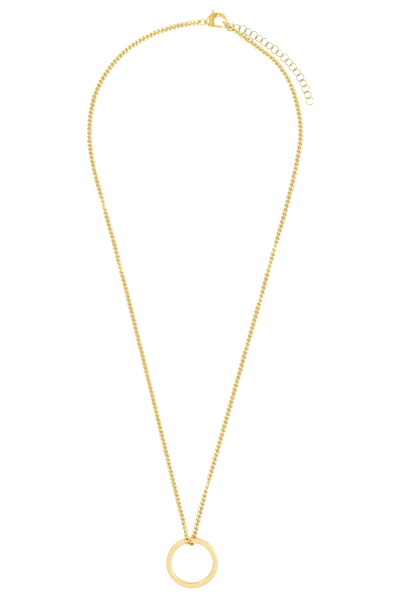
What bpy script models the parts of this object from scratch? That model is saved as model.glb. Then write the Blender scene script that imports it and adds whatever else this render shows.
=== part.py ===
"""Chain necklace: a curb chain closed by a lobster clasp, with a flat ring pendant and an extender chain.

The necklace lies flat, face up. +Y runs from the pendant to the clasp, +X to the wearer's left and
+Z up from the surface. The two strands are cut into runs of links that hook into each other, and the
run in the middle passes through the pendant.
"""
import bisect
import math

import bmesh
import bpy
from mathutils import Matrix, Vector
from mathutils.geometry import interpolate_bezier

MM = 0.001

# Curb chain: one twisted link, and the joined run of links between two hooked ends.
LINK_PITCH = 1.74 * MM
LINK_WIDTH = 2.3 * MM
LINK_WIRE = 0.6 * MM
LINK_PLAY = 0.17 * MM
LINK_TWIST = math.radians(-46)
RUN_THICKNESS = 0.8 * MM
RUN_NOTCH = 0.2 * MM
RUN_SHOULDER = 0.05 * MM
RUN_SETBACK = 0.21 * MM
LINK_HOLE_LENGTH = 0.8 * MM
LINK_HOLE_WIDTH = 0.5 * MM
RUNS_PER_STRAND = 14
END_LOOP_STEPS = 5

# Pendant: a flat plain ring.
PENDANT_OUTER = 21.7 * MM
PENDANT_BAND = 2.15 * MM
PENDANT_THICKNESS = 2.0 * MM
PENDANT_EDGE = 0.35 * MM
PENDANT_PLAY = 0.22 * MM
PENDANT_TOP = Vector((-4.4, -100.5, 0.0)) * MM
PENDANT_SIDESTEP = 0.6 * MM
PENDANT_STEPS = 44

# Where the chain passes the pendant, and how far it climbs to its ends.
LEG_SHIFT = 1.1 * MM
LEG_LENGTH = 8.8 * MM
END_CLIMB = 16.0 * MM
END_LEVEL = 3.0 * MM

# Jump rings and lobster clasp.
TOP_HEIGHT = 2.2 * MM
JOINT_PLAY = 0.14 * MM
LEFT_RING_OUTER = 3.0 * MM
LEFT_RING_ROLL = math.radians(33)
END_RING_OUTER = 4.4 * MM
END_RING_ROLL = math.radians(-82)
END_RING_HEADING = math.radians(-38)
STRAND_HEADING = math.radians(-40)
EXTENDER_HEADING = math.radians(8)
STRAND_SPREAD = math.radians(-20)
EXTENDER_SPREAD = math.radians(45)
LEFT_RING_WIRE = 0.5 * MM
END_RING_WIRE = 0.7 * MM
HOOK_SEAT = Vector((6.95, 0.15, 0.0)) * MM
CLASP_EYE_OUTER = 2.4 * MM
CLASP_EYE_WIRE = 0.6 * MM
CLASP_THICKNESS = 2.9 * MM
HOOK_THICKNESS = 1.1 * MM
CLASP_ROUNDING = 0.25 * MM
SLOT_WIDTH = 1.04 * MM
LEVER_THICKNESS = 0.8 * MM
LEVER_ROUNDING = 0.12 * MM
LEVER_PIVOT = Vector((1.65, -0.9, 0.0)) * MM
RIVET_DIAMETER = 0.8 * MM
RIVET_PLAY = 0.05 * MM
SPRING_WIRE = 0.22 * MM

# Extender chain of plain round rings.
EXTENDER_RINGS = 19
EXTENDER_OUTER = 3.62 * MM
EXTENDER_WIRE = 0.42 * MM
EXTENDER_PLAY = 0.11 * MM
EXTENDER_ROLL = math.radians(23)

# Plan of the chain as it lies, in millimetres: down the left strand, then up the right one.
LEFT_END = (-0.25, 116.5)
LEFT_ROUTE = [
    (-12.0, 114.7), (-22.0, 111.1), (-32.0, 104.6), (-40.0, 95.4), (-45.0, 85.0), (-47.0, 72.0),
    (-45.9, 59.0), (-41.8, 42.5), (-34.8, 17.0), (-26.3, -17.0), (-18.1, -50.5), (-9.9, -84.0),
]
RIGHT_ROUTE = [
    (1.0, -84.0), (10.5, -50.5), (20.0, -17.0), (29.6, 17.0), (36.6, 42.0), (40.4, 58.5),
    (41.9, 70.0), (40.7, 81.0), (37.1, 92.0), (31.7, 100.0), (25.7, 105.0), (19.6, 109.2),
]
EXTENDER_ROUTE = [
    (16.25, 114.5), (21.55, 111.75), (27.75, 107.7), (34.45, 102.6), (38.1, 98.7), (41.4, 94.2),
    (44.1, 88.5), (46.3, 81.5),
]

# Outlines of the clasp in millimetres from the middle of its tail eye, tail to nose along +X.
CLAW_OUTLINE = [
    (0.25, -0.45), (0.6, -1.05), (1.25, -1.6), (2.95, -1.9), (3.3, -1.6), (3.25, 0.2), (3.5, 1.5),
    (4.25, 2.25), (5.45, 2.4), (6.55, 2.1), (7.25, 1.5), (7.7, 0.3), (7.8, -0.6), (7.6, -1.4),
    (7.4, -1.9), (7.55, -2.4), (8.05, -2.4), (8.65, -1.85), (9.05, -0.8), (8.9, 0.3), (8.5, 1.55),
    (7.85, 2.75), (6.85, 3.6), (5.55, 3.95), (4.05, 3.9), (2.35, 3.3), (1.05, 2.45), (0.55, 1.7),
    (0.25, 0.75),
]
LEVER_BACK = [(2.1, 3.0), (1.6, 0.5)]
LEVER_OUTLINE = [
    (1.25, -1.55), (2.05, -1.8), (6.65, -2.4), (7.05, -2.2), (7.05, -1.75), (3.75, -1.15), (3.0, -0.3),
    (3.0, 1.6), (3.1, 3.4), (3.25, 4.5), (3.05, 5.1), (2.55, 5.2), (2.35, 4.4), *LEVER_BACK,
    (1.05, -0.4), (0.95, -1.1),
]
SLOT_SPAN = (0.65, 3.65)
TAPER_SPAN = (3.45, 5.45)

# Hairpin spring: how high each leg reaches, and how far its wire stays off the slot's end and the lever.
SPRING_HEEL = 0.35 * MM
SPRING_WALL_LEG = (1.6 * MM, 0.7 * MM)
SPRING_LEVER_LEG = (0.65 * MM, 1.4 * MM, 2.2 * MM)
SPRING_PLAY = 0.1 * MM


def clear_scene():
    for item in list(bpy.data.objects):
        bpy.data.objects.remove(item, do_unlink=True)


def make_collection(name):
    group = bpy.data.collections.new(name)
    bpy.context.scene.collection.children.link(group)
    return group


def gold_plate(name, colour, roughness):
    material = bpy.data.materials.new(name)
    material.use_nodes = True
    shader = material.node_tree.nodes["Principled BSDF"]
    shader.inputs["Base Color"].default_value = (*colour, 1.0)
    shader.inputs["Metallic"].default_value = 1.0
    shader.inputs["Roughness"].default_value = roughness
    return material


def plane_points(pairs):
    return [Vector((x, y, 0.0)) * MM for x, y in pairs]


def smooth_line(points, steps):
    """A dense line that passes smoothly through the given points."""
    ends = [2 * points[0] - points[1]] + points + [2 * points[-1] - points[-2]]
    line = []
    for before, start, stop, after in zip(ends, ends[1:], ends[2:], ends[3:]):
        reach = (stop - start).length / 3
        leave = start + (stop - before).normalized() * reach
        arrive = stop - (after - start).normalized() * reach
        line += interpolate_bezier(start, leave, arrive, stop, steps)[:-1]
    return line + [points[-1]]


def lengths_along(line):
    total = 0.0
    lengths = [total]
    for start, stop in zip(line, line[1:]):
        total += (stop - start).length
        lengths.append(total)
    return lengths


def ease(share):
    share = min(max(share, 0.0), 1.0)
    return share * share * (3 - 2 * share)


class Path:
    """A line with a face direction at each point, measured by length."""

    def __init__(self, line, faces):
        self.line = line
        self.faces = faces
        self.lengths = lengths_along(line)
        self.total = self.lengths[-1]

    def at(self, length):
        """Point, tangent, lateral and up direction at a length, run straight on past either end."""
        index = min(max(bisect.bisect_right(self.lengths, length) - 1, 0), len(self.line) - 2)
        span = self.lengths[index + 1] - self.lengths[index]
        share = (length - self.lengths[index]) / span
        point = self.line[index].lerp(self.line[index + 1], share)
        tangent = (self.line[min(index + 2, len(self.line) - 1)] - self.line[max(index - 1, 0)]).normalized()
        face = self.faces[index].lerp(self.faces[index + 1], min(max(share, 0.0), 1.0))
        up = (face - tangent * face.dot(tangent)).normalized()
        return point, tangent, up.cross(tangent), up


def mesh_of(item):
    """The evaluated shape of an object as a welded mesh; the object itself is removed."""
    shape = bpy.data.meshes.new_from_object(item.evaluated_get(bpy.context.evaluated_depsgraph_get()))
    shape.transform(item.matrix_world)
    bpy.data.objects.remove(item, do_unlink=True)
    build = bmesh.new()
    build.from_mesh(shape)
    bmesh.ops.remove_doubles(build, verts=build.verts, dist=0.001 * MM)
    bmesh.ops.recalc_face_normals(build, faces=build.faces)
    build.to_mesh(shape)
    build.free()
    return shape


def add_object(name, shape, group):
    item = bpy.data.objects.new(name, shape)
    group.objects.link(item)
    return item


def wire_mesh(points, wire, sides, closed=False):
    """Round wire bent along the points."""
    curve = bpy.data.curves.new("wire", "CURVE")
    curve.dimensions = "3D"
    curve.bevel_depth = wire / 2
    curve.bevel_resolution = sides // 2 - 2
    curve.use_fill_caps = not closed
    spline = curve.splines.new("POLY")
    spline.points.add(len(points) - 1)
    spline.use_cyclic_u = closed
    for knot, point in zip(spline.points, points):
        knot.co = (*point, 1.0)
    return mesh_of(add_object("wire", curve, bpy.context.scene.collection))


def plate_mesh(outline, thickness, rounding):
    """Flat outline given a thickness, with its edges rounded inside the outline."""
    curve = bpy.data.curves.new("plate", "CURVE")
    curve.dimensions = "2D"
    curve.fill_mode = "BOTH"
    curve.extrude = thickness / 2 - rounding
    curve.bevel_depth = rounding
    curve.bevel_resolution = 1
    curve.offset = -rounding
    spline = curve.splines.new("POLY")
    spline.points.add(len(outline) - 1)
    spline.use_cyclic_u = True
    for knot, point in zip(spline.points, outline):
        knot.co = (*point, 1.0)
    return mesh_of(add_object("plate", curve, bpy.context.scene.collection))


def with_boolean(item, other, operation):
    cut = item.modifiers.new(operation.lower(), "BOOLEAN")
    cut.operation = operation
    cut.object = other
    cut.solver = "EXACT"


def finish(item, origin, material, smooth_angle=40):
    """Put the object's origin on its joint and give it its finish."""
    item.data.transform(Matrix.Translation(-origin))
    item.location = origin
    item.data.materials.clear()
    item.data.materials.append(material)
    item.data.shade_smooth()
    item.data.set_sharp_from_angle(angle=math.radians(smooth_angle))


def link_half_length():
    return (LINK_PITCH + LINK_WIRE + LINK_PLAY) / 2


def link_point(centre, turn):
    """Point on the middle of a curb link's wire, the link lying along +X."""
    half_width = (LINK_WIDTH - LINK_WIRE) / 2
    roll = LINK_TWIST * math.cos(turn)
    across = half_width * math.sin(turn)
    along = centre + link_half_length() * math.cos(turn)
    return Vector((along, across * math.cos(roll), across * math.sin(roll)))


def link_half_height():
    turns = [math.radians(step) for step in range(0, 180, 3)]
    return max(abs(link_point(0.0, turn).z) for turn in turns) + LINK_WIRE / 2


def end_loop_mesh(centre, facing, depth):
    """The open half of an end link, with both its legs sunk into the run by depth."""
    first = -math.pi / 2 if facing > 0 else math.pi / 2
    turns = [first + math.pi * step / END_LOOP_STEPS for step in range(END_LOOP_STEPS + 1)]
    points = [link_point(centre, turn) for turn in turns]
    root = Vector((-facing * depth, 0.0, 0.0))
    return wire_mesh([points[0] + root] + points + [points[-1] + root], LINK_WIRE, 4)


def run_mesh(links):
    """A straight run of joined links: a pierced strip with an open loop hooked out of each end."""
    length = links * LINK_PITCH
    root = LINK_PITCH / 2 + RUN_SETBACK
    stations = [root]
    for link in range(1, links - 1):
        middle = (link + 0.5) * LINK_PITCH
        stations += [middle - LINK_HOLE_LENGTH / 2, middle + LINK_HOLE_LENGTH / 2]
    stations.append(length - root)
    columns = len(stations) - 1
    build = bmesh.new()
    bmesh.ops.create_grid(build, x_segments=columns, y_segments=3, size=0.5)
    cells = {}
    for vertex in build.verts:
        cells[vertex] = (round((vertex.co.x + 0.5) * columns), round((vertex.co.y + 0.5) * 3))
    holes = []
    for face in build.faces:
        column = min(cells[vertex][0] for vertex in face.verts)
        row = min(cells[vertex][1] for vertex in face.verts)
        if column % 2 == 1 and row == 1:
            holes.append(face)
    for vertex, (column, row) in cells.items():
        side = 1 if row > 1 else -1
        wide = LINK_WIDTH / 2
        narrow = wide - RUN_NOTCH
        if column in (0, columns):
            rim = wide + RUN_SHOULDER
        else:
            rim = wide if (column % 2 == 1) == (side > 0) else narrow
        across = rim if row in (0, 3) else LINK_HOLE_WIDTH / 2
        vertex.co = (stations[column], side * across, 0.0)
    bmesh.ops.delete(build, geom=holes, context="FACES_ONLY")
    strip = bpy.data.meshes.new("strip")
    build.to_mesh(strip)
    build.free()
    body = add_object("strip", strip, bpy.context.scene.collection)
    wall = body.modifiers.new("thickness", "SOLIDIFY")
    wall.thickness = RUN_THICKNESS
    wall.offset = 0.0
    depth = RUN_SETBACK + LINK_WIRE
    loops = []
    for centre, facing in ((LINK_PITCH / 2, -1), (length - LINK_PITCH / 2, 1)):
        loop = add_object("loop", end_loop_mesh(centre, facing, depth), bpy.context.scene.collection)
        with_boolean(body, loop, "UNION")
        loops.append(loop)
    shape = mesh_of(body)
    for loop in loops:
        bpy.data.objects.remove(loop, do_unlink=True)
    return shape


def lay_run(name, straight, links, path, start, stop, group):
    """Bend a copy of a straight run of links along the path between two lengths."""
    shape = straight.copy()
    stretch = (stop - start) / (links * LINK_PITCH)
    for vertex in shape.vertices:
        point, tangent, lateral, up = path.at(start + vertex.co.x * stretch)
        vertex.co = point + lateral * vertex.co.y + up * vertex.co.z
    return add_object(name, shape, group)


def ring_mesh(outer, wire, segments, sides, frame):
    """Round wire ring lying in the plane of the frame's first two axes."""
    radius = (outer - wire) / 2
    bpy.ops.mesh.primitive_torus_add(
        major_radius=radius, minor_radius=wire / 2, major_segments=segments, minor_segments=sides
    )
    item = bpy.context.active_object
    shape = item.data
    bpy.data.objects.remove(item, do_unlink=True)
    shape.transform(frame)
    return shape


def rolled_frame(centre, along, up, roll):
    """Frame at a centre, first axis along, second axis turned out of the flat by roll."""
    along = along.normalized()
    lateral = up.cross(along).normalized()
    rise = along.cross(lateral)
    second = lateral * math.cos(roll) + rise * math.sin(roll)
    third = along.cross(second)
    frame = Matrix((along, second, third)).transposed().to_4x4()
    frame.translation = centre
    return frame


def pendant_ring(group, material, height):
    """Flat ring turned from a chamfered section, resting on its lower edge and on the chain at its top."""
    middle = (PENDANT_OUTER - PENDANT_BAND) / 2
    half_band = PENDANT_BAND / 2
    half_thick = PENDANT_THICKNESS / 2
    corners = [
        (half_band - PENDANT_EDGE, half_thick), (half_band, half_thick - PENDANT_EDGE),
        (half_band, PENDANT_EDGE - half_thick), (half_band - PENDANT_EDGE, -half_thick),
        (PENDANT_EDGE - half_band, -half_thick), (-half_band, PENDANT_EDGE - half_thick),
        (-half_band, half_thick - PENDANT_EDGE), (PENDANT_EDGE - half_band, half_thick),
    ]
    build = bmesh.new()
    section = [build.verts.new((middle + across, 0.0, rise)) for across, rise in corners]
    for start, stop in zip(section, section[1:] + section[:1]):
        build.edges.new((start, stop))
    shape = bpy.data.meshes.new("pendant_section")
    build.to_mesh(shape)
    build.free()
    blank = add_object("pendant_blank", shape, bpy.context.scene.collection)
    turned = blank.modifiers.new("turned", "SCREW")
    turned.angle = 2 * math.pi
    turned.steps = PENDANT_STEPS
    turned.render_steps = PENDANT_STEPS
    turned.use_merge_vertices = True
    turned.merge_threshold = 0.001 * MM
    ring = add_object("pendant_ring", mesh_of(blank), group)
    reach = 2 * middle + half_band
    tilt = math.asin(height / math.hypot(reach, half_thick)) - math.atan2(half_thick, reach)
    hang = PENDANT_TOP + Vector((0.0, 0.0, height))
    centre = hang + Vector((PENDANT_SIDESTEP, -middle * math.cos(tilt), -middle * math.sin(tilt)))
    ring.data.transform(Matrix.Translation(centre) @ Matrix.Rotation(tilt, 4, "X"))
    finish(ring, hang, material)


def chain_path(left_end, right_end, wrap_radius, wrap_height, rest_height):
    """The whole chain: down the left strand, round the pendant's band and up the right strand."""
    step_aside = Vector((LEG_SHIFT, 0.0, 0.0))
    flat = Vector((1.0, 1.0, 0.0))
    left = smooth_line([left_end * flat] + plane_points(LEFT_ROUTE) + [PENDANT_TOP - step_aside], 24)
    right = smooth_line([PENDANT_TOP + step_aside] + plane_points(RIGHT_ROUTE) + [right_end * flat], 24)
    line = []
    faces = []
    lengths = lengths_along(left)
    for point, length in zip(left, lengths):
        climb = (left_end.z - rest_height) * ease((END_CLIMB - length) / (END_CLIMB - END_LEVEL))
        over = (wrap_height + wrap_radius - rest_height) * ease(1 - (lengths[-1] - length) / LEG_LENGTH)
        line.append(point + Vector((0.0, 0.0, rest_height + climb + over)))
        faces.append(Vector((0.0, 0.0, 1.0)))
    wrap_steps = 24
    for step in range(1, wrap_steps):
        turn = math.pi / 2 - math.pi * step / wrap_steps
        drift = step_aside * (2 * step / wrap_steps - 1)
        outward = Vector((0.0, -math.cos(turn), math.sin(turn)))
        line.append(PENDANT_TOP + drift + Vector((0.0, 0.0, wrap_height)) + outward * wrap_radius)
        faces.append(outward)
    lengths = lengths_along(right)
    for point, length in zip(right, lengths):
        left_over = lengths[-1] - length
        climb = (right_end.z - rest_height) * ease((END_CLIMB - left_over) / (END_CLIMB - END_LEVEL))
        line.append(point + Vector((0.0, 0.0, rest_height + climb)))
        faces.append(Vector((0.0, 0.0, -1.0)))
    front = len(left) - 1
    back = front + wrap_steps
    return Path(line, faces), front, back


def chain_runs(path, front, back, group, material):
    """Both strands as runs of joined links, and the middle run that holds the pendant."""
    left_foot = path.lengths[front] - LEG_LENGTH
    right_foot = path.lengths[back] + LEG_LENGTH
    straight = {}

    def add_run(name, start, stop, hinge):
        links = round((stop - start) / LINK_PITCH)
        if links not in straight:
            straight[links] = run_mesh(links)
        run = lay_run(name, straight[links], links, path, start, stop, group)
        finish(run, path.at(hinge)[0], material)

    add_run("centre_links", left_foot, right_foot, path.lengths[front])
    for number in range(1, RUNS_PER_STRAND + 1):
        near = left_foot * (1 - (number - 1) / RUNS_PER_STRAND)
        far = left_foot * (1 - number / RUNS_PER_STRAND)
        add_run(f"left_links_{number:02d}", far, near, near)
    right_length = path.total - right_foot
    for number in range(1, RUNS_PER_STRAND + 1):
        near = right_foot + right_length * (number - 1) / RUNS_PER_STRAND
        far = right_foot + right_length * number / RUNS_PER_STRAND
        add_run(f"right_links_{number:02d}", near, far, near)


def spring_line():
    """Middle of the hairpin's wire: down the end of the lever's slot, round, and up the lever's back."""
    off = SPRING_WIRE / 2 + SPRING_PLAY
    wall = SLOT_SPAN[0] * MM + off
    top, foot = plane_points(LEVER_BACK)
    wall_leg = [Vector((wall, height, 0.0)) for height in SPRING_WALL_LEG]
    lever_leg = []
    for height in SPRING_LEVER_LEG:
        lean = (height - foot.y) / (top.y - foot.y)
        lever_leg.append(Vector((foot.lerp(top, lean).x - off, height, 0.0)))
    heel = Vector(((wall_leg[-1].x + lever_leg[0].x) / 2, SPRING_HEEL, 0.0))
    return wall_leg + [heel] + lever_leg


def clasp(eye, group, cutters, material, spring_material):
    """Lobster clasp: cast claw with an upright tail eye; lever, rivet and hairpin spring in its slot."""
    place = Matrix.Translation(eye)

    def as_cutter(name, shape):
        item = add_object(name, shape, cutters)
        item.matrix_world = place
        item.hide_render = True
        item.display_type = "WIRE"
        return item

    claw_shape = plate_mesh(plane_points(CLAW_OUTLINE), CLASP_THICKNESS, CLASP_ROUNDING)
    claw = add_object("clasp_body", claw_shape, group)
    upright = Matrix.Rotation(math.pi / 2, 4, "X")
    eye_shape = ring_mesh(CLASP_EYE_OUTER, CLASP_EYE_WIRE, 16, 6, upright)
    with_boolean(claw, as_cutter("tail_eye", eye_shape), "UNION")
    far = 4 * CLASP_THICKNESS
    start, stop = (place_mm * MM for place_mm in TAPER_SPAN)
    thick, thin = CLASP_THICKNESS / 2 + CLASP_ROUNDING, HOOK_THICKNESS / 2
    for side in (1, -1):
        wedge = [(start, thick), (stop, thin), (far, thin), (far, 2 * thick), (start, 2 * thick)]
        points = [Vector((along, side * rise, 0.0)) for along, rise in wedge]
        shape = plate_mesh(points, far, 0.0)
        shape.transform(upright)
        with_boolean(claw, as_cutter(f"hook_taper_{'top' if side > 0 else 'back'}", shape), "DIFFERENCE")
    left, right = (place_mm * MM for place_mm in SLOT_SPAN)
    slot = [Vector((x, y, 0.0)) for x, y in ((left, -far), (right, -far), (right, far), (left, far))]
    with_boolean(claw, as_cutter("lever_slot", plate_mesh(slot, SLOT_WIDTH, 0.0)), "DIFFERENCE")

    def round_bar(diameter, length):
        build = bmesh.new()
        bmesh.ops.create_cone(
            build, cap_ends=True, segments=16, radius1=diameter / 2, radius2=diameter / 2, depth=length
        )
        shape = bpy.data.meshes.new("round_bar")
        build.to_mesh(shape)
        build.free()
        shape.transform(Matrix.Translation(LEVER_PIVOT))
        return shape

    bore = as_cutter("rivet_bore", round_bar(RIVET_DIAMETER + 2 * RIVET_PLAY, far))
    with_boolean(claw, bore, "DIFFERENCE")
    claw.data.transform(place)
    finish(claw, eye, material)
    lever_shape = plate_mesh(plane_points(LEVER_OUTLINE), LEVER_THICKNESS, LEVER_ROUNDING)
    lever = add_object("clasp_lever", lever_shape, group)
    with_boolean(lever, bore, "DIFFERENCE")
    lever.data.transform(place)
    finish(lever, eye + LEVER_PIVOT, material)
    rivet = add_object("clasp_rivet", round_bar(RIVET_DIAMETER, CLASP_THICKNESS), group)
    rivet.data.transform(place)
    finish(rivet, eye + LEVER_PIVOT, material)
    spring = add_object("clasp_spring", wire_mesh(spring_line(), SPRING_WIRE, 4), group)
    spring.data.transform(place)
    finish(spring, eye, spring_material)


def extender(start, heading, group, material):
    """Round rings hooked through each other, rolled left and right in turn, lying beside the chain."""
    radius = (EXTENDER_OUTER - EXTENDER_WIRE) / 2
    rest = radius * math.sin(EXTENDER_ROLL) + EXTENDER_WIRE / 2
    lap = EXTENDER_WIRE + EXTENDER_PLAY
    pitch = 2 * radius - lap
    route = [point + Vector((0.0, 0.0, rest)) for point in plane_points(EXTENDER_ROUTE)]
    line = smooth_line([start, start + heading * radius] + route, 24)
    path = Path(line, [Vector((0.0, 0.0, 1.0))] * len(line))
    for number in range(EXTENDER_RINGS):
        inner = number * pitch
        tail, head = path.at(inner)[0], path.at(inner + 2 * radius)[0]
        roll = -EXTENDER_ROLL if number % 2 else EXTENDER_ROLL
        frame = rolled_frame((tail + head) / 2, head - tail, Vector((0.0, 0.0, 1.0)), roll)
        shape = ring_mesh(EXTENDER_OUTER, EXTENDER_WIRE, 14, 4, frame)
        ring = add_object(f"extender_ring_{number + 1:02d}", shape, group)
        finish(ring, path.at(inner + lap / 2)[0], material)


def build_necklace():
    clear_scene()
    parts = make_collection("chain_necklace")
    cutters = make_collection("chain_necklace_cutters")
    chain_gold = gold_plate("chain_gold", (0.86, 0.62, 0.22), 0.28)
    pendant_gold = gold_plate("pendant_gold", (0.93, 0.77, 0.38), 0.42)
    clasp_gold = gold_plate("clasp_gold", (0.88, 0.60, 0.22), 0.18)
    extender_gold = gold_plate("extender_gold", (0.92, 0.76, 0.38), 0.25)
    spring_steel = gold_plate("spring_steel", (0.62, 0.62, 0.60), 0.35)
    up = Vector((0.0, 0.0, 1.0))

    # The chain lies on its links' undersides, and wraps the band with room for it to swing.
    rest_height = link_half_height()
    corner = math.hypot(PENDANT_BAND / 2, PENDANT_THICKNESS / 2 - PENDANT_EDGE)
    wrap_radius = corner + PENDANT_PLAY + link_half_height()
    wrap_height = rest_height + wrap_radius
    pendant_ring(parts, pendant_gold, wrap_height)

    # Tail ring between the left strand and the clasp's eye.
    overhang = link_half_length() - LINK_PITCH / 2
    link_apart = LINK_WIRE / 2 + LEFT_RING_WIRE / 2 + JOINT_PLAY
    left_end = Vector((*LEFT_END, 0.0)) * MM + up * TOP_HEIGHT
    along = Vector((1.0, 0.0, 0.0))
    left_radius = (LEFT_RING_OUTER - LEFT_RING_WIRE) / 2
    left_centre = left_end + along * (left_radius - link_apart + overhang)
    left_frame = rolled_frame(left_centre, along, up, LEFT_RING_ROLL)
    left_shape = ring_mesh(LEFT_RING_OUTER, LEFT_RING_WIRE, 16, 6, left_frame)
    left_ring = add_object("left_jump_ring", left_shape, parts)
    finish(left_ring, left_centre, chain_gold)

    eye_radius = (CLASP_EYE_OUTER - CLASP_EYE_WIRE) / 2
    eye_gap = LEFT_RING_WIRE / 2 + CLASP_EYE_WIRE / 2 + JOINT_PLAY
    eye = left_centre + along * (left_radius - eye_gap + eye_radius)
    clasp(eye, parts, cutters, clasp_gold, spring_steel)

    # End ring round the nose of the hook; the right strand and the extender both hang on it.
    heading, strand, tail = (
        Vector((math.cos(turn), math.sin(turn), 0.0))
        for turn in (END_RING_HEADING, STRAND_HEADING, EXTENDER_HEADING)
    )
    end_radius = (END_RING_OUTER - END_RING_WIRE) / 2
    end_centre = eye + HOOK_SEAT + heading * end_radius
    end_frame = rolled_frame(end_centre, heading, up, END_RING_ROLL)
    end_shape = ring_mesh(END_RING_OUTER, END_RING_WIRE, 16, 6, end_frame)
    end_ring = add_object("end_jump_ring", end_shape, parts)
    strand_hold, extender_hold = (
        end_frame @ Vector((end_radius * math.cos(turn), end_radius * math.sin(turn), 0.0))
        for turn in (STRAND_SPREAD, EXTENDER_SPREAD)
    )
    finish(end_ring, strand_hold, chain_gold)

    end_apart = LINK_WIRE / 2 + END_RING_WIRE / 2 + JOINT_PLAY
    right_end = strand_hold - strand * (end_apart / math.cos(STRAND_SPREAD) - overhang)
    path, front, back = chain_path(left_end, right_end, wrap_radius, wrap_height, rest_height)
    chain_runs(path, front, back, parts, chain_gold)
    ring_apart = EXTENDER_WIRE / 2 + END_RING_WIRE / 2 + JOINT_PLAY
    extender_start = extender_hold - tail * ring_apart / math.cos(EXTENDER_SPREAD)
    extender(extender_start, tail, parts, extender_gold)


build_necklace()
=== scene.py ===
import math
import random
from bisect import bisect_right

import bmesh
import bpy
from mathutils import Matrix, Vector
from mathutils.geometry import interpolate_bezier
from mathutils.kdtree import KDTree


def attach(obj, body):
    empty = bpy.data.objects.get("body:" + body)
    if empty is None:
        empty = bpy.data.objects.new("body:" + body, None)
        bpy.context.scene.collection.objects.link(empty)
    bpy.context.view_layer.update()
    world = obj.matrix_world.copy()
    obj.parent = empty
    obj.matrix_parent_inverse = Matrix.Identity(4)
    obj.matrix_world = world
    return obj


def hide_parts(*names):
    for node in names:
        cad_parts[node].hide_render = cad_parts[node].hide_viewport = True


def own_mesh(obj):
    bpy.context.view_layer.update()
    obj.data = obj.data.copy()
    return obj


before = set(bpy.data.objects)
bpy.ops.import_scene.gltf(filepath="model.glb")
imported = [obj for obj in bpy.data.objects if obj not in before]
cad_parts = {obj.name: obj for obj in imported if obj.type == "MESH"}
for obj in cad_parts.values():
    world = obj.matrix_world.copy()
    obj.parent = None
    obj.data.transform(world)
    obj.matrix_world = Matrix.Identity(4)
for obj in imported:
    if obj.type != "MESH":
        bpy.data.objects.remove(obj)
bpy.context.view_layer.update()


# Curb chain: oval links of drawn brass wire, each hooked through the one before it and soldered shut.
# The links are then twisted, filed flat on both faces of the chain, tumbled and gold-plated.
# It runs down the left strand, through the pendant ring from front to back, and up the right strand.
MM = 0.001
UP = Vector((0.0, 0.0, 1.0))
LINK_PITCH = 1.74 * MM
LINK_WIDTH = 2.5 * MM
LINK_WIRE = 0.5 * MM
LINK_PLAY = 0.02 * MM
LINK_TWIST = math.radians(-46)
SIDE_WIDENING = 2.4
SIDE_REACH = 0.01 * MM
SIDE_START = 0.5 * MM
SHOULDER_WIDENING = 2.0
SHOULDER_REACH = 0.82 * MM
SHOULDER_START = 0.55 * MM
SHOULDER_ANGLE = math.radians(60)
LINK_FLAT = 0.4 * MM
# Painted shade inside each link: full within this reach of the link's middle, fading out over the next
# stretch.
PAINTED_SHADE_REACH = 0.4 * MM
PAINTED_SHADE_FADE = 0.45 * MM
LINK_ARCS = 12
WIRE_SIDES = 6
LINK_SWAY = math.radians(3)
# Where the chain lies turned on itself: x and y in millimetres, and degrees.
TURNED_SPOTS = [
    (-41.0, 39.9, 45), (-34.3, 14.3, -45), (30.8, 22.3, 45), (29.1, 14.7, 50), (25.3, 0.2, -45),
    (19.5, -18.5, 35), (2.9, -78.8, 60),
]
TURNED_REACH = 3.5 * MM
RUNS_PER_STRAND = 14
# The chain's plan as it lies, in millimetres from the middle of the necklace.
LEFT_END = Vector((-0.25, 116.5, 2.2)) * MM
LEFT_ROUTE = [
    (-12.0, 114.7), (-22.0, 111.1), (-32.0, 104.6), (-40.0, 95.4), (-45.0, 85.0), (-47.0, 72.0),
    (-45.9, 59.0), (-41.8, 42.5), (-34.8, 17.0), (-26.3, -17.0), (-18.1, -50.5), (-9.9, -84.0),
]
RIGHT_END = Vector((11.529, 114.664, 2.827)) * MM
RIGHT_ROUTE = [
    (1.0, -84.0), (10.5, -50.5), (20.0, -17.0), (29.6, 17.0), (36.6, 42.0), (40.4, 58.5),
    (41.9, 70.0), (40.7, 81.0), (37.1, 92.0), (31.7, 100.0), (25.7, 105.0), (19.6, 109.2),
]
PENDANT_TOP = Vector((-4.4, -100.5, 0.0)) * MM
LEG_SHIFT = Vector((1.1, 0.0, 0.0)) * MM
LEG_LENGTH = 8.8 * MM
END_CLIMB = 16.0 * MM
END_LEVEL = 3.0 * MM
LINK_REST = 0.623 * MM
WRAP_RADIUS = 2.099 * MM
WRAP_HEIGHT = LINK_REST + WRAP_RADIUS
WRAP_STEPS = 24


def shape_points(piece, wanted, transform, **settings):
    """Move or scale just the points of a piece whose place is wanted."""
    bpy.ops.object.mode_set(mode="EDIT")
    bpy.ops.mesh.select_mode(type="VERT")
    build = bmesh.from_edit_mesh(piece.data)
    for point in build.verts:
        point.select_set(wanted(point.co))
    build.select_flush_mode()
    bmesh.update_edit_mesh(piece.data)
    transform(**settings)
    bpy.ops.object.mode_set(mode="OBJECT")


def apply_modifier(piece, kind, **settings):
    """Finish a piece with one modifier, applied to its mesh."""
    change = piece.modifiers.new("finish", kind)
    for name, value in settings.items():
        setattr(change, name, value)
    bpy.ops.object.select_all(action="DESELECT")
    bpy.context.view_layer.objects.active = piece
    piece.select_set(True)
    bpy.ops.object.modifier_apply(modifier="finish")


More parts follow.
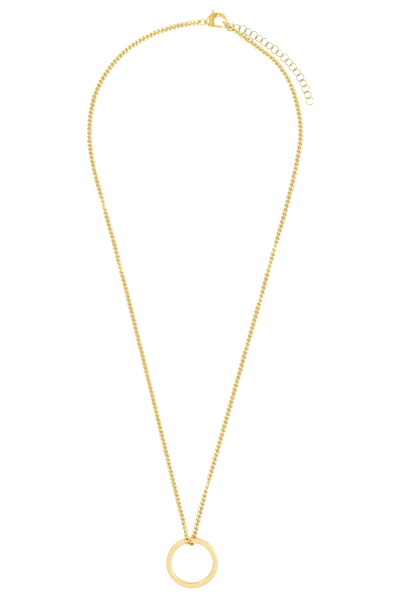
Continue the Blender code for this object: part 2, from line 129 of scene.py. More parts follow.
def curb_link():
    """One link along X: a wire ring drawn to an oval, its sides pressed wider, twisted and filed flat."""
    half_width = (LINK_WIDTH - LINK_WIRE) / 2
    half_length = (LINK_PITCH + LINK_WIRE + LINK_PLAY) / 2
    bpy.ops.object.select_all(action="DESELECT")
    bpy.ops.mesh.primitive_torus_add(
        major_radius=half_width, minor_radius=LINK_WIRE / 2,
        major_segments=LINK_ARCS, minor_segments=WIRE_SIDES,
    )
    link = bpy.context.active_object
    for side in (1, -1):
        shape_points(
            link, lambda place: place.x * side > SIDE_REACH,
            bpy.ops.transform.translate, value=(side * (half_length - half_width), 0.0, 0.0),
        )
    for side in (1, -1):
        edge = side * LINK_WIDTH / 2
        shape_points(
            link, lambda place: abs(place.x) < SIDE_REACH and place.y * side > SIDE_START,
            bpy.ops.transform.resize,
            value=(1.0, SIDE_WIDENING, 1.0), center_override=(0.0, edge, 0.0),
        )
        shape_points(
            link,
            lambda place: SIDE_REACH < abs(place.x) < SHOULDER_REACH and place.y * side > SHOULDER_START,
            bpy.ops.transform.resize,
            value=(1.0, SHOULDER_WIDENING, 1.0), center_override=(0.0, edge * math.sin(SHOULDER_ANGLE), 0.0),
        )
    # Painted shade: the points round the link's hole are marked, and the finish darkens them in colour for
    # the shade in the crevices between links.
    inside = link.data.attributes.new("inside", "FLOAT", "POINT")
    for vertex, share in zip(link.data.vertices, inside.data):
        share.value = 1 - ease((math.hypot(vertex.co.x, vertex.co.y) - PAINTED_SHADE_REACH) / PAINTED_SHADE_FADE)
    apply_modifier(
        link, "SIMPLE_DEFORM", deform_method="TWIST", deform_axis="X",
        angle=2 * LINK_TWIST * (half_length + LINK_WIRE / 2) / half_length,
    )
    for side in (1, -1):
        shape_points(
            link, lambda place: place.z * side > LINK_FLAT,
            bpy.ops.transform.resize,
            value=(1.0, 1.0, 0.0), center_override=(0.0, 0.0, side * LINK_FLAT),
        )
    bpy.ops.object.shade_smooth()
    return link


def smooth_line(points, steps=24):
    """A dense line that passes smoothly through the points."""
    ends = [2 * points[0] - points[1]] + points + [2 * points[-1] - points[-2]]
    line = []
    for before, start, stop, after in zip(ends, ends[1:], ends[2:], ends[3:]):
        reach = (stop - start).length / 3
        leave = start + (stop - before).normalized() * reach
        arrive = stop - (after - start).normalized() * reach
        line += interpolate_bezier(start, leave, arrive, stop, steps)[:-1]
    return line + [points[-1]]


def lengths_along(line):
    """How far along the line each of its points is."""
    lengths = [0.0]
    for start, stop in zip(line, line[1:]):
        lengths.append(lengths[-1] + (stop - start).length)
    return lengths


def along(values, lengths, length):
    """What the values at a line's points come to at a length along it."""
    index = min(max(bisect_right(lengths, length) - 1, 0), len(values) - 2)
    share = (length - lengths[index]) / (lengths[index + 1] - lengths[index])
    return values[index].lerp(values[index + 1], share)


def ease(share):
    """A share from 0 to 1 that starts and stops gently."""
    share = min(max(share, 0.0), 1.0)
    return share * share * (3 - 2 * share)


def lay_chain():
    """The chain's line, the way its flat side faces, and the two lengths at which it meets the pendant."""
    flat = Vector((1.0, 1.0, 0.0))
    left_plan = [LEFT_END * flat] + [Vector((x, y, 0.0)) * MM for x, y in LEFT_ROUTE]
    right_plan = [Vector((x, y, 0.0)) * MM for x, y in RIGHT_ROUTE] + [RIGHT_END * flat]
    left = smooth_line(left_plan + [PENDANT_TOP - LEG_SHIFT])
    right = smooth_line([PENDANT_TOP + LEG_SHIFT] + right_plan)
    climb_length = END_CLIMB - END_LEVEL
    over_pendant = WRAP_HEIGHT + WRAP_RADIUS - LINK_REST
    lengths = lengths_along(left)
    line = []
    for point, length in zip(left, lengths):
        to_clasp = (LEFT_END.z - LINK_REST) * ease((END_CLIMB - length) / climb_length)
        to_pendant = over_pendant * ease(1 - (lengths[-1] - length) / LEG_LENGTH)
        line.append(point + UP * (LINK_REST + to_clasp + to_pendant))
    faces = [UP] * len(left)
    for step in range(1, WRAP_STEPS):
        turn = math.pi / 2 - math.pi * step / WRAP_STEPS
        outward = Vector((0.0, -math.cos(turn), math.sin(turn)))
        drift = LEG_SHIFT * (2 * step / WRAP_STEPS - 1)
        line.append(PENDANT_TOP + drift + UP * WRAP_HEIGHT + outward * WRAP_RADIUS)
        faces.append(outward)
    lengths = lengths_along(right)
    for point, length in zip(right, lengths):
        to_ring = (RIGHT_END.z - LINK_REST) * ease((END_CLIMB - lengths[-1] + length) / climb_length)
        line.append(point + UP * (LINK_REST + to_ring))
        faces.append(-UP)
    lengths = lengths_along(line)
    return line, faces, lengths, lengths[len(left) - 1], lengths[len(left) + WRAP_STEPS - 1]


def rgb(hex_colour):
    """An sRGB hex colour as linear RGBA."""
    shares = [int(hex_colour[index:index + 2], 16) / 255 for index in (1, 3, 5)]
    return [s / 12.92 if s <= 0.04045 else ((s + 0.055) / 1.055) ** 2.4 for s in shares] + [1.0]


def add_node(tree, kind, settings=None, inputs=None):
    """Add a node, set it up, and give each input its value or its link."""
    node = tree.nodes.new(kind)
    for name, value in (settings or {}).items():
        setattr(node, name, value)
    for name, value in (inputs or {}).items():
        if isinstance(value, bpy.types.NodeSocket):
            tree.links.new(value, node.inputs[name])
        else:
            node.inputs[name].default_value = value
    return node


def metal_finish(name, pale, deep, patch, gloss, ripple, relief):
    """A metal whose tone and gloss drift over patches, and whose fine ripples break up reflections."""
    material = bpy.data.materials.new(name)
    material.use_nodes = True
    tree = material.node_tree
    shader = tree.nodes["Principled BSDF"]
    shader.inputs["Metallic"].default_value = 1.0
    place = add_node(tree, "ShaderNodeTexCoord").outputs["Object"]
    drift = add_node(
        tree, "ShaderNodeTexNoise", inputs={"Vector": place, "Scale": 1 / patch, "Detail": 2.0}
    ).outputs["Fac"]
    tone = add_node(
        tree, "ShaderNodeMix", {"data_type": "RGBA"}, {"Factor": drift, 6: rgb(pale), 7: rgb(deep)}
    ).outputs[2]
    rough = add_node(
        tree, "ShaderNodeMapRange", inputs={"Value": drift, "To Min": gloss[0], "To Max": gloss[1]}
    ).outputs["Result"]
    grain = add_node(
        tree, "ShaderNodeTexNoise", inputs={"Vector": place, "Scale": 1 / ripple, "Detail": 2.0}
    ).outputs["Fac"]
    normal = add_node(
        tree, "ShaderNodeBump", inputs={"Height": grain, "Strength": 1.0, "Distance": relief}
    ).outputs["Normal"]
    tree.links.new(tone, shader.inputs["Base Color"])
    tree.links.new(rough, shader.inputs["Roughness"])
    tree.links.new(normal, shader.inputs["Normal"])
    return material


def paint_shade(material, tone):
    """Paint shade into a finish: a deeper tone on the points of a piece that are marked as inside."""
    tree = material.node_tree
    shader = tree.nodes["Principled BSDF"]
    surface = shader.inputs["Base Color"].links[0].from_socket
    depth = add_node(tree, "ShaderNodeAttribute", {"attribute_name": "inside"}).outputs["Fac"]
    mixed = add_node(
        tree, "ShaderNodeMix", {"data_type": "RGBA"}, {"Factor": depth, 6: surface, 7: rgb(tone)}
    ).outputs[2]
    tree.links.new(mixed, shader.inputs["Base Color"])


# Tumbled gold plate: glossy, with the slightly uneven glint that tumbling leaves on each link.
chain_gold = metal_finish(
    "tumbled_gold_plate", pale="#FFF6CC", deep="#FDECAC", patch=2.2 * MM,
    gloss=(0.16, 0.30), ripple=0.5 * MM, relief=0.004 * MM,
)
# Inside the links, round each link's hole, the plate is darkened to a deep, dull yellow: painted shade for
# the crevices where the links shade each other.
paint_shade(chain_gold, "#D2A742")
line, faces, lengths, pendant_front, pendant_back = lay_chain()
link = curb_link()
sway = random.Random(4)
turned = []
for x, y, turn in TURNED_SPOTS:
    spot = Vector((x, y, 0.0)) * MM
    nearest = min(range(len(line)), key=lambda index: (line[index] - spot).length)
    turned.append((lengths[nearest], math.radians(turn)))


def turn_at(length):
    """How far the chain has turned on itself at a length, on top of how it lies."""
    return sum(turn * math.exp(-((length - spot) / TURNED_REACH) ** 2) for spot, turn in turned)


def hook_links(body, start, stop):
    """The links of one run of chain, from one length to another, made one piece on the run's body."""
    count = round((stop - start) / LINK_PITCH)
    run = bmesh.new()
    for number in range(count):
        near, far = (start + (stop - start) * (number + end) / count for end in (0, 1))
        tail, head = along(line, lengths, near), along(line, lengths, far)
        face = along(faces, lengths, (near + far) / 2)
        heading = (head - tail).normalized()
        rise = (face - heading * face.dot(heading)).normalized()
        turn = turn_at((near + far) / 2) + sway.uniform(-LINK_SWAY, LINK_SWAY)
        rise.rotate(Matrix.Rotation(turn, 3, heading))
        stretch = (head - tail).length / LINK_PITCH
        place = Matrix((heading * stretch, rise.cross(heading), rise)).transposed().to_4x4()
        place.translation = (tail + head) / 2
        copy = link.data.copy()
        copy.transform(place)
        sunk = min(vertex.co.z for vertex in copy.vertices)
        copy.transform(Matrix.Translation(UP * max(-sunk, 0.0)))
        run.from_mesh(copy)
        bpy.data.meshes.remove(copy)
    shape = bpy.data.meshes.new(f"curb_{body}")
    run.to_mesh(shape)
    run.free()
    shape.shade_smooth()
    shape.materials.append(chain_gold)
    piece = bpy.data.objects.new(f"curb_{body}", shape)
    bpy.context.collection.objects.link(piece)
    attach(piece, body)
    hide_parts(body)


left_foot = pendant_front - LEG_LENGTH
right_foot = pendant_back + LEG_LENGTH
left_run = left_foot / RUNS_PER_STRAND
right_run = (lengths[-1] - right_foot) / RUNS_PER_STRAND
hook_links("centre_links", left_foot, right_foot)
for number in range(1, RUNS_PER_STRAND + 1):
    left_near = left_foot - (number - 1) * left_run
    right_near = right_foot + (number - 1) * right_run
    hook_links(f"left_links_{number:02d}", left_near - left_run, left_near)
    hook_links(f"right_links_{number:02d}", right_near, right_near + right_run)
bpy.data.objects.remove(link, do_unlink=True)


# Pendant: a plain flat ring, turned from brass tube, its edges eased with a fine file.
# It is brushed to a soft satin before plating, and hangs loose on the middle of the chain.
PENDANT_OUTER = 21.7 * MM
PENDANT_BAND = 2.2 * MM
PENDANT_THICKNESS = 2.0 * MM
PENDANT_EDGE = 0.38 * MM
PENDANT_SIDESTEP = 0.6 * MM
PENDANT_STEPS = 160
EDGE_STEPS = 5
WELD = 0.001 * MM
SMOOTH_UNDER = math.radians(40)

pendant_middle = (PENDANT_OUTER - PENDANT_BAND) / 2
bpy.ops.object.select_all(action="DESELECT")
bpy.ops.mesh.primitive_plane_add(
    size=1.0, location=(pendant_middle, 0.0, 0.0), rotation=(math.pi / 2, 0.0, 0.0)
)
pendant = bpy.context.active_object
pendant.name = "satin_ring"
pendant.scale = (PENDANT_BAND, PENDANT_THICKNESS, 1.0)
bpy.ops.object.transform_apply()
bpy.ops.object.mode_set(mode="EDIT")
bpy.ops.mesh.select_all(action="SELECT")
bpy.ops.mesh.bevel(offset=PENDANT_EDGE, segments=EDGE_STEPS, affect="VERTICES")
bpy.ops.mesh.delete(type="ONLY_FACE")
bpy.ops.mesh.select_all(action="SELECT")
bpy.ops.mesh.spin(steps=PENDANT_STEPS, angle=2 * math.pi, center=(0.0, 0.0, 0.0), axis=(0.0, 0.0, 1.0))
bpy.ops.mesh.select_all(action="SELECT")
bpy.ops.mesh.remove_doubles(threshold=WELD)
bpy.ops.mesh.normals_make_consistent(inside=False)
bpy.ops.object.mode_set(mode="OBJECT")
bpy.ops.object.shade_smooth_by_angle(angle=SMOOTH_UNDER)

reach = 2 * pendant_middle + PENDANT_BAND / 2
half_thick = PENDANT_THICKNESS / 2
tilt = math.asin(WRAP_HEIGHT / math.hypot(reach, half_thick)) - math.atan2(half_thick, reach)
drop = Vector((0.0, math.cos(tilt), math.sin(tilt))) * pendant_middle
hang = Vector((PENDANT_SIDESTEP, 0.0, WRAP_HEIGHT)) - drop
# Painted shade: the ring's edges and walls, away from its two flat faces, are marked to be darkened in
# colour.
eased = pendant.data.attributes.new("inside", "FLOAT", "POINT")
for vertex, share in zip(pendant.data.vertices, eased.data):
    share.value = ease((half_thick - abs(vertex.co.z)) / PENDANT_EDGE)
pendant.data.transform(Matrix.Translation(PENDANT_TOP + hang) @ Matrix.Rotation(tilt, 4, "X"))

# Satin gold plate: an even pale sheen with no mirror reflections. The brushing is finer than a pixel,
# so its grain is drawn coarser, at a tenth of a millimetre.
satin_gold = metal_finish(
    "satin_gold_plate", pale="#F8E4B2", deep="#F0D89E", patch=3.0 * MM,
    gloss=(0.22, 0.32), ripple=0.12 * MM, relief=0.003 * MM,
)
# The filed edges are painted deeper than the brushed faces, so a fine darker line runs round the ring:
# painted shade where the rounded edges and walls turn from the light.
paint_shade(satin_gold, "#D2B478")
pendant.data.materials.append(satin_gold)
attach(pendant, "pendant_ring")
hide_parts("pendant_ring")


# Jump rings: one links the left strand to the clasp's tail, the larger one ends the right strand.
# Each is cut from a coil of brass wire, closed with pliers until its ends butt, and plated.
LEFT_RING_WIRE = 0.5 * MM
LEFT_RING_OUTER = 3.0 * MM
LEFT_RING_MIDDLE = Vector((0.695, 116.5, 2.2)) * MM
LEFT_RING_ROLL = math.radians(33)
LEFT_RING_SPLIT = math.radians(73)
END_RING_WIRE = 0.7 * MM
END_RING_OUTER = 4.4 * MM
END_RING_MIDDLE = Vector((10.563, 115.511, 2.2)) * MM
END_RING_HEADING = math.radians(-38)
END_RING_ROLL = math.radians(-82)
END_RING_SPLIT = math.radians(107)
RING_ARCS = 64
RING_SIDES = 12


def split_ring(name, outer, wire, arcs, sides, split):
    """A wire ring in the XY plane, with a fine gap between its cut ends at the angle of the split."""
    bpy.ops.object.select_all(action="DESELECT")
    bpy.ops.mesh.primitive_torus_add(
        major_radius=(outer - wire) / 2, minor_radius=wire / 2, major_segments=arcs, minor_segments=sides,
    )
    ring = bpy.context.active_object
    ring.name = name
    bpy.ops.object.mode_set(mode="EDIT")
    bpy.ops.mesh.select_mode(type="FACE")
    build = bmesh.from_edit_mesh(ring.data)
    cut = Vector((math.cos(split), math.sin(split), 0.0))
    for face in build.faces:
        middle = face.calc_center_median() * Vector((1.0, 1.0, 0.0))
        face.select_set(middle.angle(cut) < math.pi / arcs)
    bmesh.update_edit_mesh(ring.data)
    bpy.ops.mesh.delete(type="FACE")
    bpy.ops.mesh.select_mode(type="EDGE")
    bpy.ops.mesh.select_all(action="DESELECT")
    bpy.ops.mesh.select_non_manifold()
    bpy.ops.mesh.edge_face_add()
    bpy.ops.object.mode_set(mode="OBJECT")
    bpy.ops.object.shade_smooth_by_angle(angle=SMOOTH_UNDER)
    return ring


def rolled_place(middle, heading, roll):
    """Where a ring goes that lies along the heading, turned about it out of the flat."""
    heading = heading.normalized()
    across = UP.cross(heading).normalized()
    second = across * math.cos(roll) + heading.cross(across) * math.sin(roll)
    place = Matrix((heading, second, heading.cross(second))).transposed().to_4x4()
    place.translation = middle
    return place


left_ring = split_ring(
    "left_split_ring", LEFT_RING_OUTER, LEFT_RING_WIRE, RING_ARCS, RING_SIDES, LEFT_RING_SPLIT
)
left_ring.data.transform(rolled_place(LEFT_RING_MIDDLE, Vector((1.0, 0.0, 0.0)), LEFT_RING_ROLL))
end_ring = split_ring(
    "end_split_ring", END_RING_OUTER, END_RING_WIRE, RING_ARCS, RING_SIDES, END_RING_SPLIT
)
end_heading = Vector((math.cos(END_RING_HEADING), math.sin(END_RING_HEADING), 0.0))
end_ring.data.transform(rolled_place(END_RING_MIDDLE, end_heading, END_RING_ROLL))
# Gold plate on cut wire: deeper than the chain, its gloss dulled by the pliers that closed it.
ring_gold = metal_finish(
    "pliered_gold_plate", pale="#EED8A0", deep="#D4BA76", patch=1.5 * MM,
    gloss=(0.22, 0.36), ripple=0.4 * MM, relief=0.004 * MM,
)
for ring, body in ((left_ring, "left_jump_ring"), (end_ring, "end_jump_ring")):
    ring.data.materials.append(ring_gold)
    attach(ring, body)
    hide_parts(body)


# Claw of the lobster clasp: one domed brass casting with a slanted tail eye and a hooked nose.
# It is slotted through its back for the lever, drilled for the rivet, polished and plated.
EYE = Vector((2.155, 116.5, 2.2)) * MM
EYE_OUTER = 2.4 * MM
EYE_WIRE = 0.6 * MM
EYE_ARCS = 40
EYE_SIDES = 16
TAIL_WIDENING = 2.8
TAIL_SIDESTEP = 0.3 * MM
CLAW_THICKNESS = 2.9 * MM
HOOK_THICKNESS = 1.1 * MM
TAPER_START = 2.7 * MM
TAPER_STOP = 5.45 * MM
DOME_REACH = 1.1 * MM
DOME_RIM = 0.6
# Outline of the claw in millimetres from the middle of its tail eye, tail to nose along X.
CLAW_OUTLINE = [
    (0.2, -0.6), (0.6, -1.1), (1.25, -1.6), (2.95, -1.9), (3.3, -1.6), (3.25, 0.2), (3.5, 1.5),
    (4.25, 2.25), (5.45, 2.4), (6.55, 2.1), (7.25, 1.5), (7.7, 0.3), (7.8, -0.6), (7.6, -1.4),
    (7.4, -1.9), (7.55, -2.4), (8.05, -2.4), (8.65, -1.85), (9.05, -0.8), (8.9, 0.3), (8.5, 1.55),
    (7.85, 2.75), (6.85, 3.6), (5.55, 3.95), (4.05, 3.9), (2.35, 3.3), (1.05, 2.45), (0.5, 1.8),
    (0.2, 1.0),
]
SLOT_LEFT = 0.65 * MM
SLOT_RIGHT = 3.65 * MM
SLOT_WIDTH = 1.04 * MM
CAST_DETAIL = 0.07 * MM
CAST_SMOOTHING = 12
OUTLINE_STEPS = 4
RIM_STEPS = 12


def outline_edge(outline, steps):
    """A smooth closed line through the points of an outline."""
    points = [Vector((x, y, 0.0)) * MM for x, y in outline]
    line = smooth_line(points[-2:] + points + points[:2], steps + 1)
    return line[2 * steps:(len(points) + 2) * steps]


def outline_plate(name, outline, thickness):
    """A flat plate cut to a smooth closed outline, half its thickness on each side of z 0."""
    line = outline_edge(outline, OUTLINE_STEPS)
    bpy.ops.object.select_all(action="DESELECT")
    bpy.ops.mesh.primitive_circle_add(vertices=len(line), radius=1 * MM, fill_type="NGON")
    plate = bpy.context.active_object
    plate.name = name
    for vertex, point in zip(plate.data.vertices, line):
        vertex.co = point - UP * thickness / 2
    bpy.ops.object.mode_set(mode="EDIT")
    bpy.ops.mesh.select_all(action="SELECT")
    bpy.ops.mesh.extrude_region_move(TRANSFORM_OT_translate={"value": (0.0, 0.0, thickness)})
    bpy.ops.mesh.select_all(action="SELECT")
    bpy.ops.mesh.normals_make_consistent(inside=False)
    bpy.ops.object.mode_set(mode="OBJECT")
    return plate


def use_up(piece, other, operation):
    """Cut another shape out of a piece or join it on, and use the other shape up."""
    apply_modifier(piece, "BOOLEAN", operation=operation, object=other, solver="EXACT")
    bpy.data.objects.remove(other, do_unlink=True)


claw = outline_plate("cast_claw", CLAW_OUTLINE, CLAW_THICKNESS)
apply_modifier(claw, "REMESH", mode="VOXEL", voxel_size=CAST_DETAIL)
edge = outline_edge(CLAW_OUTLINE, RIM_STEPS)
rim = KDTree(len(edge))
for index, point in enumerate(edge):
    rim.insert(point, index)
rim.balance()
for vertex in claw.data.vertices:
    share = ease((vertex.co.x - TAPER_START) / (TAPER_STOP - TAPER_START))
    inset = rim.find((vertex.co.x, vertex.co.y, 0.0))[2]
    rounding = math.sqrt(1 - (1 - min(inset / DOME_REACH, 1.0)) ** 2)
    dome = DOME_RIM + (1 - DOME_RIM) * rounding
    vertex.co.z *= dome * (1 + (HOOK_THICKNESS / CLAW_THICKNESS - 1) * share)
bpy.ops.object.select_all(action="DESELECT")
bpy.ops.mesh.primitive_torus_add(
    major_radius=(EYE_OUTER - EYE_WIRE) / 2, minor_radius=EYE_WIRE / 2,
    major_segments=EYE_ARCS, minor_segments=EYE_SIDES, rotation=(math.pi / 2, 0.0, 0.0),
)
tail_eye = bpy.context.active_object
bpy.ops.object.transform_apply()
for vertex in tail_eye.data.vertices:
    share = ease((vertex.co.x + EYE_OUTER / 2) / EYE_OUTER)
    vertex.co.y = vertex.co.y * (1 + (TAIL_WIDENING - 1) * share) + TAIL_SIDESTEP * share
tail_eye.data.transform(Matrix.Rotation(LEFT_RING_ROLL, 4, "X"))
use_up(claw, tail_eye, "UNION")
bpy.ops.object.select_all(action="DESELECT")
bpy.ops.mesh.primitive_cube_add(size=1.0, location=((SLOT_LEFT + SLOT_RIGHT) / 2, 0.0, 0.0))
slot = bpy.context.active_object
slot.scale = (SLOT_RIGHT - SLOT_LEFT, 4 * CLAW_THICKNESS, SLOT_WIDTH)
bpy.ops.object.transform_apply(location=False, rotation=False)
use_up(claw, slot, "DIFFERENCE")
apply_modifier(claw, "REMESH", mode="VOXEL", voxel_size=CAST_DETAIL)
apply_modifier(claw, "SMOOTH", factor=0.5, iterations=CAST_SMOOTHING)
claw.data.transform(Matrix.Translation(EYE))
claw.data.shade_smooth()

# Polished gold plate on a casting: mirror-bright, warmer than the chain, with a slow waviness.
clasp_gold = metal_finish(
    "polished_gold_plate", pale="#F2D88A", deep="#DDB65A", patch=2.5 * MM,
    gloss=(0.14, 0.26), ripple=0.8 * MM, relief=0.006 * MM,
)
claw.data.materials.append(clasp_gold)
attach(claw, "clasp_body")
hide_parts("clasp_body")


# Lever of the clasp: stamped from brass plate, with a thumb tab at one end and the gate at the other.
# It turns on the rivet inside the claw's slot, and the spring keeps its gate against the nose.
LEVER_THICKNESS = 0.8 * MM
LEVER_ROUNDING = 0.14 * MM
ROUND_OVER = math.radians(60)
LEVER_OUTLINE = [
    (1.25, -1.55), (2.05, -1.8), (6.65, -2.4), (7.05, -2.2), (7.05, -1.75), (3.75, -1.15), (3.0, -0.3),
    (3.0, 1.6), (3.1, 3.4), (3.25, 4.5), (3.05, 5.1), (2.55, 5.2), (2.35, 4.4), (2.1, 3.0), (1.6, 0.5),
    (1.05, -0.4), (0.95, -1.1),
]

lever = outline_plate("stamped_lever", LEVER_OUTLINE, LEVER_THICKNESS)
apply_modifier(
    lever, "BEVEL", width=LEVER_ROUNDING, segments=3, limit_method="ANGLE", angle_limit=ROUND_OVER
)
bpy.ops.object.shade_smooth_by_angle(angle=SMOOTH_UNDER)
lever.data.transform(Matrix.Translation(EYE))
lever.data.materials.append(clasp_gold)
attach(lever, "clasp_lever")
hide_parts("clasp_lever")


# Rivet that the lever turns on: a short pin of drawn brass, pressed through the claw from face to face.
# Its ends are dressed to low domes, and it is plated with the claw.
RIVET_PLACE = Vector((1.65, -0.9, 0.0)) * MM
RIVET_DIAMETER = 0.8 * MM
RIVET_DOME = 0.12 * MM

bpy.ops.object.select_all(action="DESELECT")
bpy.ops.mesh.primitive_cylinder_add(vertices=32, radius=RIVET_DIAMETER / 2, depth=CLAW_THICKNESS)
rivet = bpy.context.active_object
rivet.name = "clasp_pin"
apply_modifier(
    rivet, "BEVEL", width=RIVET_DOME, segments=4, limit_method="ANGLE", angle_limit=ROUND_OVER
)
bpy.ops.object.shade_smooth_by_angle(angle=SMOOTH_UNDER)
rivet.data.transform(Matrix.Translation(EYE + RIVET_PLACE))
rivet.data.materials.append(clasp_gold)
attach(rivet, "clasp_body")
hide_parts("clasp_rivet")


# Spring of the clasp: a hairpin of bare spring steel wire behind the lever, inside the claw.
# One leg lies on the claw and the other presses on the lever.
SPRING_WIRE = 0.22 * MM
SPRING_ROUTE = [(0.86, 1.6), (0.86, 0.7), (1.14, 0.35), (1.42, 0.65), (1.57, 1.4), (1.73, 2.2)]

bpy.ops.object.select_all(action="DESELECT")
bpy.ops.curve.primitive_bezier_curve_add()
spring = bpy.context.active_object
spring.name = "hairpin_spring"
spring.data.splines.clear()
hairpin = spring.data.splines.new("POLY")
hairpin_line = smooth_line([EYE + Vector((x, y, 0.0)) * MM for x, y in SPRING_ROUTE], 6)
hairpin.points.add(len(hairpin_line) - 1)
for knot, point in zip(hairpin.points, hairpin_line):
    knot.co = (*point, 1.0)
spring.data.bevel_depth = SPRING_WIRE / 2
spring.data.bevel_resolution = 3
spring.data.use_fill_caps = True
bpy.ops.object.convert(target="MESH")
spring.data.materials.clear()
# Drawn spring steel: grey and half glossy, with the faint unevenness that the die leaves.
spring.data.materials.append(metal_finish(
    "drawn_spring_steel", pale="#C4C4C0", deep="#9C9C98", patch=0.6 * MM,
    gloss=(0.28, 0.42), ripple=0.1 * MM, relief=0.002 * MM,
))
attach(spring, "clasp_body")
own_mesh(spring)
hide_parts("clasp_spring")


# Extender: a length of plain round rings of thin wire, each cut from a coil, hooked through the
# one before it and closed, lightly plated. It hangs on the end ring and lies beside the right strand.
EXTENDER_RINGS = 19
EXTENDER_OUTER = 3.64 * MM
EXTENDER_WIRE = 0.44 * MM
EXTENDER_LAP = 0.53 * MM
EXTENDER_ROLL = math.radians(23)
EXTENDER_SPREAD = math.radians(45)
EXTENDER_HEADING = math.radians(8)
EXTENDER_GAP = 0.7 * MM
EXTENDER_ARCS = 48
EXTENDER_SIDES = 10
EXTENDER_SPLITS = [math.radians(75), math.radians(205), math.radians(335)]
# The extender's plan as it lies, in millimetres from the middle of the necklace.
EXTENDER_ROUTE = [
    (16.25, 114.5), (21.55, 111.75), (27.75, 107.7), (34.45, 102.6), (38.1, 98.7), (41.4, 94.2),
    (44.1, 88.5), (46.3, 81.5),
]

# Light gold plate on thin wire: paler than the chain, its gloss broken by the marks of the pliers.
extender_gold = metal_finish(
    "light_gold_plate", pale="#E2D4A6", deep="#BEAE7C", patch=1.2 * MM,
    gloss=(0.20, 0.34), ripple=0.3 * MM, relief=0.004 * MM,
)
end_radius = (END_RING_OUTER - END_RING_WIRE) / 2
hold = rolled_place(END_RING_MIDDLE, end_heading, END_RING_ROLL) @ Vector(
    (end_radius * math.cos(EXTENDER_SPREAD), end_radius * math.sin(EXTENDER_SPREAD), 0.0)
)
tail_heading = Vector((math.cos(EXTENDER_HEADING), math.sin(EXTENDER_HEADING), 0.0))
tail_start = hold - tail_heading * EXTENDER_GAP / math.cos(EXTENDER_SPREAD)
ring_radius = (EXTENDER_OUTER - EXTENDER_WIRE) / 2
ring_rest = ring_radius * math.sin(EXTENDER_ROLL) + EXTENDER_WIRE / 2
tail_plan = [Vector((x * MM, y * MM, ring_rest)) for x, y in EXTENDER_ROUTE]
tail_line = smooth_line([tail_start, tail_start + tail_heading * ring_radius] + tail_plan)
tail_lengths = lengths_along(tail_line)
for number in range(EXTENDER_RINGS):
    reach = number * (2 * ring_radius - EXTENDER_LAP)
    inner = along(tail_line, tail_lengths, reach)
    outer = along(tail_line, tail_lengths, reach + 2 * ring_radius)
    body = f"extender_ring_{number + 1:02d}"
    split = EXTENDER_SPLITS[number % len(EXTENDER_SPLITS)]
    ring = split_ring(f"split_{body}", EXTENDER_OUTER, EXTENDER_WIRE, EXTENDER_ARCS, EXTENDER_SIDES, split)
    roll = -EXTENDER_ROLL if number % 2 else EXTENDER_ROLL
    ring.data.transform(rolled_place((inner + outer) / 2, outer - inner, roll))
    ring.data.materials.append(extender_gold)
    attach(ring, body)
    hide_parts(body)


# Table: a plain white sheet that the necklace lies on. Seen directly or in the gold it is lifted
# to full white, and it still takes the soft shadow under the chain.
FLOOR_SIZE = 40.0
FLOOR_WHITE = "#F2F2F2"
FLOOR_LIFT = 0.45

bpy.ops.object.select_all(action="DESELECT")
bpy.ops.mesh.primitive_plane_add(size=FLOOR_SIZE, location=(0.0, 0.0, 0.0))
table = bpy.context.active_object
table.name = "white_table"
# Matt white paper: no sheen, and bright enough to lose itself in the background.
paper = bpy.data.materials.new("matt_white_paper")
paper.use_nodes = True
tree = paper.node_tree
shader = tree.nodes["Principled BSDF"]
shader.inputs["Base Color"].default_value = rgb(FLOOR_WHITE)
shader.inputs["Roughness"].default_value = 1.0
shader.inputs["Specular IOR Level"].default_value = 0.0
ray = add_node(tree, "ShaderNodeLightPath").outputs
seen = add_node(
    tree, "ShaderNodeMath", {"operation": "ADD"}, {0: ray["Is Camera Ray"], 1: ray["Is Glossy Ray"]}
).outputs[0]
seen = add_node(
    tree, "ShaderNodeMath", {"operation": "ADD"}, {0: seen, 1: ray["Is Transmission Ray"]}
).outputs[0]
lift = add_node(tree, "ShaderNodeMath", {"operation": "MULTIPLY"}, {0: seen, 1: FLOOR_LIFT}).outputs[0]
shader.inputs["Emission Color"].default_value = (1.0, 1.0, 1.0, 1.0)
tree.links.new(lift, shader.inputs["Emission Strength"])
table.data.materials.append(paper)


# Light: a wide white tent overhead that darkens towards the horizon, and two soft lamps for glints.
# At its foot, just above the horizon, the tent is plain white, standing in for the table's white paper
# turned up, so low views end in white.
TENT_TOP = "#FFFFFF"
TENT_FOOT = "#A69674"
TENT_TOP_RISE = 0.85
TENT_FOOT_RISE = 0.15
PAPER_TURN_UP = 0.06
LAMPS = {"key_lamp": (-0.5, 0.35, 0.9), "fill_lamp": (0.55, -0.2, 0.9)}
LAMP_SIZE = 0.35
LAMP_POWER = 1.5

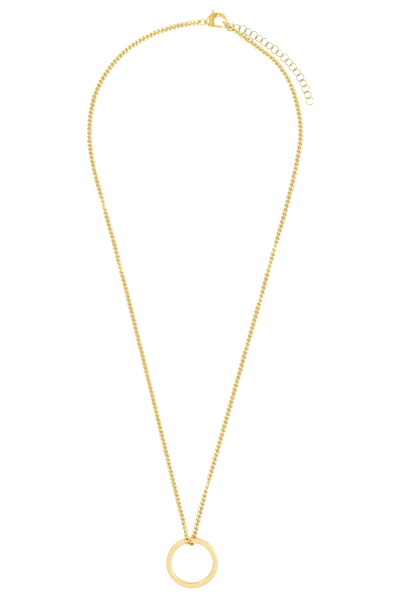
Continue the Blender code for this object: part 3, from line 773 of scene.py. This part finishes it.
world = bpy.data.worlds.new("light_tent")
bpy.context.scene.world = world
world.use_nodes = True
tree = world.node_tree
ray = add_node(tree, "ShaderNodeTexCoord").outputs["Generated"]
rise = add_node(tree, "ShaderNodeSeparateXYZ", inputs={"Vector": ray}).outputs["Z"]
share = add_node(
    tree, "ShaderNodeMapRange", {"interpolation_type": "SMOOTHSTEP"},
    {"Value": rise, "From Min": TENT_FOOT_RISE, "From Max": TENT_TOP_RISE},
).outputs["Result"]
glow = add_node(
    tree, "ShaderNodeMix", {"data_type": "RGBA"}, {"Factor": share, 6: rgb(TENT_FOOT), 7: rgb(TENT_TOP)}
).outputs[2]
paper_share = add_node(
    tree, "ShaderNodeMath", {"operation": "LESS_THAN"}, {0: rise, 1: PAPER_TURN_UP}
).outputs[0]
glow = add_node(
    tree, "ShaderNodeMix", {"data_type": "RGBA"}, {"Factor": paper_share, 6: glow, 7: rgb(TENT_TOP)}
).outputs[2]
tree.links.new(glow, tree.nodes["Background"].inputs["Color"])
tree.nodes["Background"].inputs["Strength"].default_value = 1.0
for name, place in LAMPS.items():
    lamp = bpy.data.lights.new(name, "AREA")
    lamp.size = LAMP_SIZE
    lamp.energy = LAMP_POWER
    item = bpy.data.objects.new(name, lamp)
    item.location = place
    item.rotation_euler = Vector(place).to_track_quat("Z", "Y").to_euler()
    bpy.context.collection.objects.link(item)


# Camera: on a copy stand straight above the necklace, a hair off its middle.
# Its lens takes in about 25 cm from top to bottom at the table.
CAMERA_HEIGHT = 0.45
VIEW_HEIGHT = 0.2528
SENSOR_HEIGHT = 36.0
CAMERA_PLACE = (-0.46 * MM, 0.04 * MM, CAMERA_HEIGHT)

camera = bpy.data.cameras.new("copy_stand_camera")
camera.sensor_fit = "VERTICAL"
camera.sensor_height = SENSOR_HEIGHT
camera.lens = SENSOR_HEIGHT * CAMERA_HEIGHT / VIEW_HEIGHT
camera.clip_start = 0.01
stand = bpy.data.objects.new("copy_stand_camera", camera)
stand.location = CAMERA_PLACE
bpy.context.collection.objects.link(stand)
bpy.context.scene.camera = stand
bpy.context.scene.view_settings.view_transform = "Standard"
